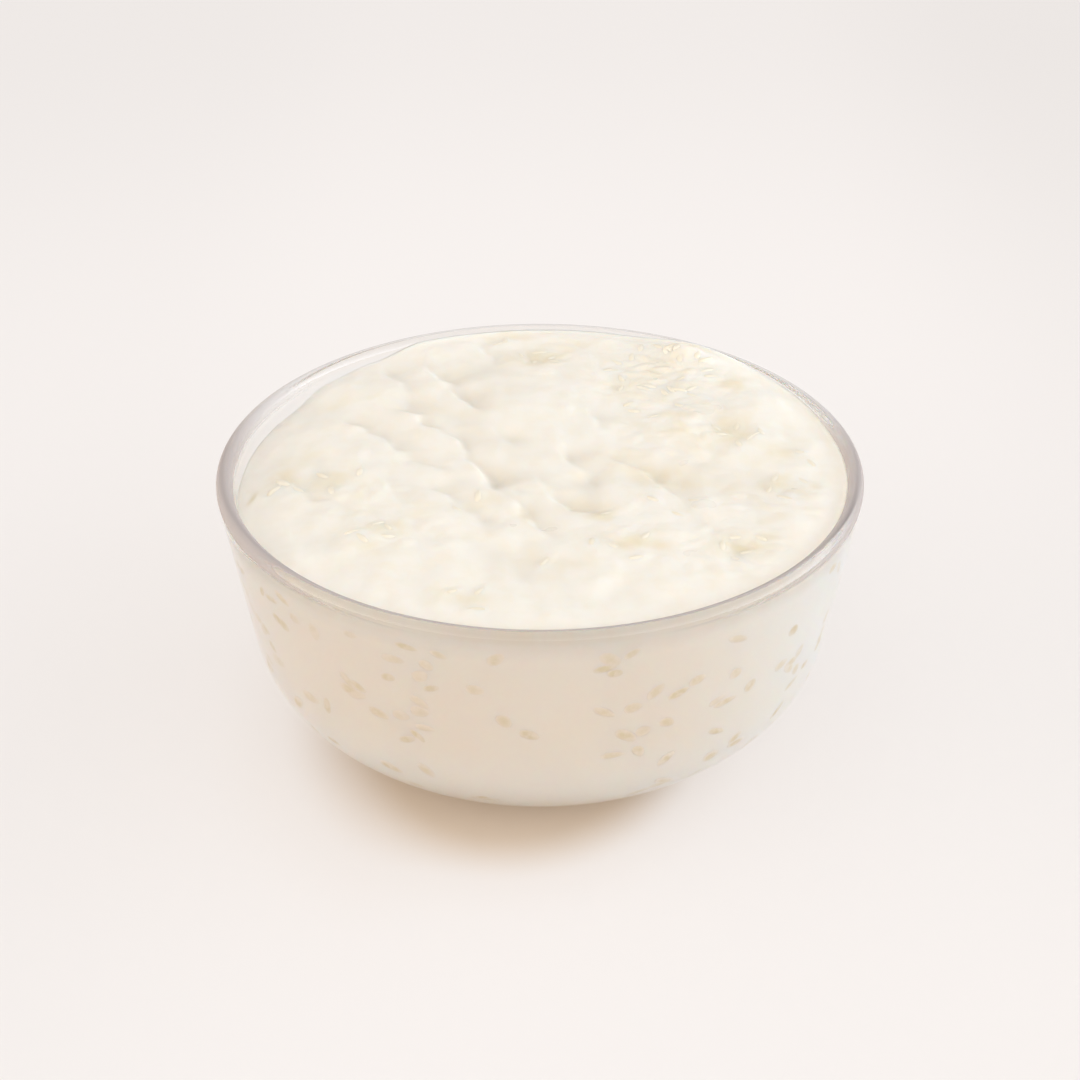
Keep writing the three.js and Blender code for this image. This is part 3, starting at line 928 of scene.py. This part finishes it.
class RICE_OT_cream(bpy.types.Operator):
    """Make the pudding's cream, with its folds and the rice under them"""

    bl_idname = "rice_pudding.cream"
    bl_label = "Pudding"

    def execute(self, context):
        scene = context.scene
        sizes, bowl = scene.rice_sizes, scene.rice_bowl
        bm = bmesh.new()
        bmesh.ops.create_grid(bm, x_segments=sizes.grid, y_segments=sizes.grid, size=1)
        looks = shape_top(bm, sizes, bowl)
        top_count = len(bm.verts)
        add_side(bm, sizes, bowl)
        bm.verts.index_update()
        bmesh.ops.recalc_face_normals(bm, faces=bm.faces)
        rest = len(bm.verts) - top_count
        material = cream_material(scene.rice_colours)
        piece = finish_piece("pudding_cream", bm, material, "pudding")
        for name, values in looks.items():
            set_attribute(piece.data, name, np.concatenate((values, np.zeros(rest))))
        side = np.concatenate((np.zeros(top_count), np.ones(rest)))
        set_attribute(piece.data, "behind_glass", side)
        return {"FINISHED"}


# ---------------------------------------------------------------- grains

GRAIN_RADIUS = 0.5          # of the round template that each grain is shaped from
GRAIN_MESH = (12, 8)        # its steps round and along
GRAIN_SLIM = 0.25           # how much slimmer one end is
GRAIN_BEND = 0.12
SLOPE_REACH = 0.4           # share of a grain's length, either way, where it rests on the cream


def grain_material(colours):
    kit = NodeKit(bpy.data.materials.new("cooked_rice"))
    tone = kit.noise(scale=300, detail=2)
    colour = kit.mix(tone * 0.9 + 0.05, colours.rice, colours.cream)
    normal = kit.bump(kit.noise(scale=1500, detail=2), distance=0.0001, strength=0.3)
    return kit.surface(Base_Color=colour, Roughness=0.3, IOR=1.42, Normal=normal)


def grain_template(segments, rings, form):
    """One grain of unit size, shaped by a function of its vertices."""
    bm = bmesh.new()
    bmesh.ops.create_uvsphere(bm, u_segments=segments, v_segments=rings, radius=GRAIN_RADIUS)
    for vert in bm.verts:
        vert.co = form(vert.co)
    mesh = bpy.data.meshes.new("grain_template")
    bm.to_mesh(mesh)
    bm.free()
    return mesh


def join_copies(template, matrices, shades=None, tones=None):
    """One bmesh with a copy of the template at each matrix; tones scale its shades."""
    bm = bmesh.new()
    for index, matrix in enumerate(matrices):
        copy = template.copy()
        copy.transform(matrix)
        if tones is not None:
            set_attribute(copy, "middle", shades * tones[index])
        bm.from_mesh(copy)
        bpy.data.meshes.remove(copy)
    bpy.data.meshes.remove(template)
    return bm


def cooked_form(co):
    """A plump grain, a little bent and slimmer at one end."""
    slim = 1 - GRAIN_SLIM * co.x
    bend = GRAIN_BEND * (GRAIN_RADIUS ** 2 - co.x * co.x)
    return Vector((co.x, co.y * slim + bend, co.z * slim))


def grain_matrices(sizes, bowl, places):
    """Lays a unit grain on the surface at each place, along its slope."""
    length, width, height = (
        value / MM for value in (sizes.grain_length, sizes.grain_width, sizes.grain_height))
    x, y, turn, size = (np.array([place[index] for place in places]) for index in range(4))
    along = np.outer([-SLOPE_REACH, 0, SLOPE_REACH], length * size)
    px, py = x + along * np.cos(turn), y + along * np.sin(turn)
    full = np.full(px.shape, (bowl.rim_radius - bowl.wall) / MM)
    levels = top_heights(sizes, bowl, px.ravel(), py.ravel(), full.ravel())[0].reshape(px.shape)
    pitch = np.arctan2(levels[2] - levels[0], along[2] - along[0])
    matrices = []
    for index in range(len(places)):
        centre = Vector((x[index], y[index], levels[1, index] - sizes.grain_sink / MM))
        turned = Matrix.Rotation(turn[index], 4, "Z") @ Matrix.Rotation(-pitch[index], 4, "Y")
        shape = Matrix.Diagonal((length * size[index], width, height, 1))
        matrices.append(Matrix.Translation(centre) @ turned @ shape)
    return matrices


class RICE_OT_grains(bpy.types.Operator):
    """Make the cooked grains that stand out of the cream"""

    bl_idname = "rice_pudding.grains"
    bl_label = "Grains on top"

    def execute(self, context):
        scene = context.scene
        sizes, bowl = scene.rice_sizes, scene.rice_bowl
        matrices = grain_matrices(sizes, bowl, grain_places())
        bm = join_copies(grain_template(*GRAIN_MESH, cooked_form), matrices)
        finish_piece("rice_grains", bm, grain_material(scene.rice_colours), "pudding")
        return {"FINISHED"}


# ---------------------------------------------------------------- grains at the glass

GLASS_GRAIN_THICKNESS = 0.8
GLASS_GRAIN_STAND = 0.16    # how far a grain stands out of the cream, towards the glass
GLASS_GRAIN_DEPTH = 6.0     # least depth of a grain's middle under the surface
GLASS_GRAIN_MESH = (10, 6)
GLASS_GRAIN_LENGTHS, GLASS_GRAIN_WIDTHS = (0.75, 1.3), (1.0, 1.8)
GLASS_GRAIN_TURN = 0.6      # spread of the grains' turns, in radians
GLASS_GRAIN_TONES = (0.3, 1.2)
PLACE_SEED, TONE_SEED = 11, 5
LEAST_RUN = 0.1             # nothing lies lower: the run is 0 at the base and 1 at the top
BELLY_SHARE = 0.45          # share of the run that lies on the belly
GROUND_SHARE = 0.35         # share of the grains that stays at the front and the back


def glass_grain_material(colours):
    kit = NodeKit(bpy.data.materials.new("rice_behind_glass"))
    cloudy = kit.ramp(kit.noise(scale=420, detail=2), (0.33, 0.3), (0.56, 1))
    tone = kit.attribute("middle") * cloudy + 0.16
    # the grains' edges take the cream's colour behind the glass, with its painted light
    colour = kit.mix(tone, side_colour(kit, colours), colours.rice_at_glass)
    normal = kit.bump(kit.noise(scale=700, detail=2), distance=0.0001, strength=0.2)
    return kit.surface(Base_Color=colour, Roughness=0.5, IOR=1.4, Normal=normal)


def wall_frame(inner, azimuth, run):
    """Point and axes on the inner wall, for a run of 0 at the base to 1 under the surface."""
    if run < BELLY_SHARE:
        radius, level = inner.belly(run / BELLY_SHARE)
        angle = -math.pi / 2 + (inner.top + math.pi / 2) * run / BELLY_SHARE
        slope = -inner.width * math.sin(angle) / (inner.height * math.cos(angle))
    else:
        top = float(edge_level(np.array([math.degrees(math.remainder(azimuth, math.tau))]))[0])
        share = (run - BELLY_SHARE) / (1 - BELLY_SHARE)
        level = inner.top_level + share * (top - GLASS_GRAIN_DEPTH - inner.top_level)
        radius, slope = inner.radius(level), inner.slope
    out = Vector((math.cos(azimuth), math.sin(azimuth), 0))
    round_way = Vector((-math.sin(azimuth), math.cos(azimuth), 0))
    up_way = (out * slope + Vector((0, 0, 1))).normalized()
    normal = round_way.cross(up_way)
    return out * radius + Vector((0, 0, level)), round_way, up_way, normal


def glass_grain_matrices(sizes, bowl):
    """Lays grains all round the glass, fewer at the front and the back than at the sides."""
    inner = cream_wall(sizes, bowl)
    draw = np.random.default_rng(PLACE_SEED)
    sunk = GLASS_GRAIN_THICKNESS / 2 - GLASS_GRAIN_STAND
    matrices = []
    while len(matrices) < sizes.grains_at_glass:
        azimuth, run = draw.uniform(0, 2 * math.pi), draw.uniform(LEAST_RUN, 1)
        turn = draw.normal(0, GLASS_GRAIN_TURN)
        length = sizes.grain_length / MM * draw.uniform(*GLASS_GRAIN_LENGTHS)
        width = sizes.grain_width / MM * draw.uniform(*GLASS_GRAIN_WIDTHS)
        if draw.uniform() > GROUND_SHARE + (1 - GROUND_SHARE) * abs(math.cos(azimuth)):
            continue
        place, round_way, up_way, normal = wall_frame(inner, azimuth, run)
        long_way = round_way * math.cos(turn) + up_way * math.sin(turn)
        wide_way = normal.cross(long_way)
        axes = Matrix((long_way * length, wide_way * width, normal * GLASS_GRAIN_THICKNESS))
        matrices.append(Matrix.Translation(place - normal * sunk) @ axes.transposed().to_4x4())
    return matrices


class RICE_OT_glass_grains(bpy.types.Operator):
    """Make the grains that show through the glass"""

    bl_idname = "rice_pudding.glass_grains"
    bl_label = "Grains at the glass"

    def execute(self, context):
        scene = context.scene
        template = grain_template(*GLASS_GRAIN_MESH, cooked_form)
        edge = 1 - 2 * GLASS_GRAIN_STAND / GLASS_GRAIN_THICKNESS
        share = np.array([vert.co.z / GRAIN_RADIUS for vert in template.vertices])
        shades = smoothstep(edge, 1.0, share)
        matrices = glass_grain_matrices(scene.rice_sizes, scene.rice_bowl)
        tones = np.random.default_rng(TONE_SEED).uniform(*GLASS_GRAIN_TONES, len(matrices))
        bm = join_copies(template, matrices, shades, tones)
        material = glass_grain_material(scene.rice_colours)
        finish_piece("grains_at_glass", bm, material, "pudding")
        return {"FINISHED"}


# ---------------------------------------------------------------- stage

FLOOR_SIZE = 8.0
FLOOR_GLOW = (0.602, 0.57, 0.547)
SHADOW_GLOW = (0.12, 0.088, 0.062)
SHADOW_OFFSET = (0.012, 0.011, 0.0)     # moves it to the front left
SHADOW_SCALE = (1.3, 1.0, 1.0)      # draws it in from the sides
SHADOW_REACH = 0.0625
SHADOW_EDGE = (-0.0105, 0.0105)     # from the reach, where the shadow's own edge starts and ends
SHADOW_FRINGE = (-0.0025, 0.0275)   # the same for its faint wider fringe
SHADOW_FRINGE_SHARE = 0.14
SHADOW_LEFT, SHADOW_LEFT_SOFTER = (0.015, 0.05), 0.45   # its edge is wider on the left

# Painted shade: where the floor darkens further out, all round, to the right and to the left, and
# how much
FAR_AROUND, FAR_AROUND_SHARE = (0.2, 0.6), 0.07
FAR_RIGHT, FAR_RIGHT_SHARE = (0.1, 0.22), 0.04
FAR_LEFT, FAR_LEFT_SHARE = (0.06, 0.15), 0.02

KEY_PLACE = (3.0, 2.2, 2.4)
KEY_SIZE = 0.9
KEY_COLOUR = (1.0, 0.98, 0.95)

# Lobes of the soft light: direction, tightness, strength
SKY_LOBES = (
    ((0.6, -0.8, -0.1), 4, 2.35),
    ((-0.75, -0.65, -0.1), 4, 2.1),
    ((-1, 0, -0.1), 4, 2.1),
    ((1, 0.1, -0.1), 4, 4.3),
    ((-0.3, 0.1, 1), 4, 0.6),
)
SKY_EVEN = 0.5
SKY_LEFT = (1.0, 0.99, 1.01)
SKY_RIGHT = (0.93, 1.0, 1.11)
SKY_TURN = (-0.7, 0.7)      # where the light's colour goes over from the left's to the right's


def floor_material(colours):
    """Pale and partly glowing, with a warm shadow that lies to the front left."""
    kit = NodeKit(bpy.data.materials.new("pale_floor"))
    place = kit.coordinates()
    moved = kit.node("ShaderNodeMapping", None, {
        "Vector": place, "Location": SHADOW_OFFSET, "Scale": SHADOW_SCALE}).value("Vector")
    softer = kit.towards(LEFT, SHADOW_LEFT) * SHADOW_LEFT_SOFTER
    reach = (kit.length(moved) - SHADOW_REACH) * (1 - softer)
    away = (kit.rise(reach, *SHADOW_EDGE) * (1 - SHADOW_FRINGE_SHARE)
            + kit.rise(reach, *SHADOW_FRINGE) * SHADOW_FRINGE_SHARE)
    # painted shade further out from the bowl
    far = kit.rise(kit.length(place), *FAR_AROUND) * FAR_AROUND_SHARE
    far = far + kit.towards(RIGHT, FAR_RIGHT) * FAR_RIGHT_SHARE
    far = far + kit.towards(LEFT, FAR_LEFT) * FAR_LEFT_SHARE
    far = far + kit.noise(scale=3, detail=2) * 0.008
    colour = kit.mix(far, kit.mix(away, colours.floor_by_bowl, colours.floor), 0)
    glow = kit.mix(far, kit.mix(away, SHADOW_GLOW, FLOOR_GLOW), 0)
    return kit.surface(
        Base_Color=colour, Emission_Color=glow, Emission_Strength=1.0, Roughness=0.9,
        Specular_IOR_Level=0.0)


def add_floor(colours):
    bm = bmesh.new()
    bmesh.ops.create_circle(bm, cap_ends=True, segments=64, radius=FLOOR_SIZE / 2)
    floor = add_mesh("floor", bm, floor_material(colours))


def add_area_light(name, place, size, power, colour):
    light = bpy.data.lights.new(name, "AREA")
    light.shape = "DISK"
    light.size = size
    light.energy = power
    light.color = colour
    holder = add_object(name, light)
    holder.location = place
    holder.rotation_euler = (-Vector(place)).to_track_quat("-Z", "Y").to_euler()


def add_sky(strength):
    """Soft light from all round: a few broad lobes, each brightest along its own direction."""
    world = bpy.data.worlds.new("soft_sky")
    kit = NodeKit(world)
    direction = kit.node("ShaderNodeTexCoord").value("Generated")
    light = SKY_EVEN * strength
    for axis, tightness, power in SKY_LOBES:
        facing = kit.facing(direction, Vector(axis).normalized())
        light = facing.at_least(0) ** tightness * (power * strength) + light
    to_right = kit.rise(kit.facing(direction, RIGHT), *SKY_TURN)
    colour = kit.mix(to_right, SKY_LEFT, SKY_RIGHT)
    background = kit.node("ShaderNodeBackground", None, {"Color": colour, "Strength": light})
    kit.node("ShaderNodeOutputWorld", None, {"Surface": background.value("Background")})
    bpy.context.scene.world = world


def add_camera(stage):
    data = bpy.data.cameras.new("camera")
    data.lens = stage.lens
    data.sensor_width = 36
    data.clip_start = 0.01
    camera = add_object("camera", data)
    aim = Vector((0, 0, stage.aim_height))
    back = Vector((0, -math.cos(stage.elevation), math.sin(stage.elevation)))
    camera.location = aim + back * stage.distance
    camera.rotation_euler = (-back).to_track_quat("-Z", "Y").to_euler()
    bpy.context.scene.camera = camera


class RICE_OT_stage(bpy.types.Operator):
    """Make the floor, the soft lights and the camera"""

    bl_idname = "rice_pudding.stage"
    bl_label = "Stage"

    def execute(self, context):
        scene = context.scene
        stage = scene.rice_stage
        scene.view_settings.view_transform = "Standard"
        add_floor(scene.rice_colours)
        add_sky(stage.sky)
        add_area_light("key_light", KEY_PLACE, KEY_SIZE, stage.key_light, KEY_COLOUR)
        add_camera(stage)
        return {"FINISHED"}


# ---------------------------------------------------------------- panel and registration

class RICE_PT_panel(bpy.types.Panel):
    """Sizes, colours and steps of the rice pudding"""

    bl_label = "Rice pudding"
    bl_space_type = "VIEW_3D"
    bl_region_type = "UI"
    bl_category = "Rice pudding"

    def draw(self, context):
        for operator in OPERATORS:
            self.layout.operator(operator.bl_idname)
        for name in GROUPS:
            box = self.layout.box()
            group = getattr(context.scene, name)
            for prop in group.__annotations__:
                box.prop(group, prop)


OPERATORS = (RICE_OT_bowl, RICE_OT_cream, RICE_OT_grains, RICE_OT_glass_grains, RICE_OT_stage)
GROUPS = {
    "rice_bowl": BowlSizes,
    "rice_sizes": PuddingSizes,
    "rice_colours": Colours,
    "rice_stage": StageSizes,
}
CLASSES = (*GROUPS.values(), *OPERATORS, RICE_PT_panel)


def register():
    for cls in CLASSES:
        bpy.utils.register_class(cls)
    for name, group in GROUPS.items():
        setattr(bpy.types.Scene, name, PointerProperty(type=group))


def unregister():
    for name in GROUPS:
        delattr(bpy.types.Scene, name)
    for cls in reversed(CLASSES):
        bpy.utils.unregister_class(cls)


def main():
    register()
    bpy.ops.rice_pudding.stage()
    bpy.ops.rice_pudding.bowl()
    bpy.ops.rice_pudding.cream()
    bpy.ops.rice_pudding.grains()
    bpy.ops.rice_pudding.glass_grains()


if __name__ == "__main__":
    main()
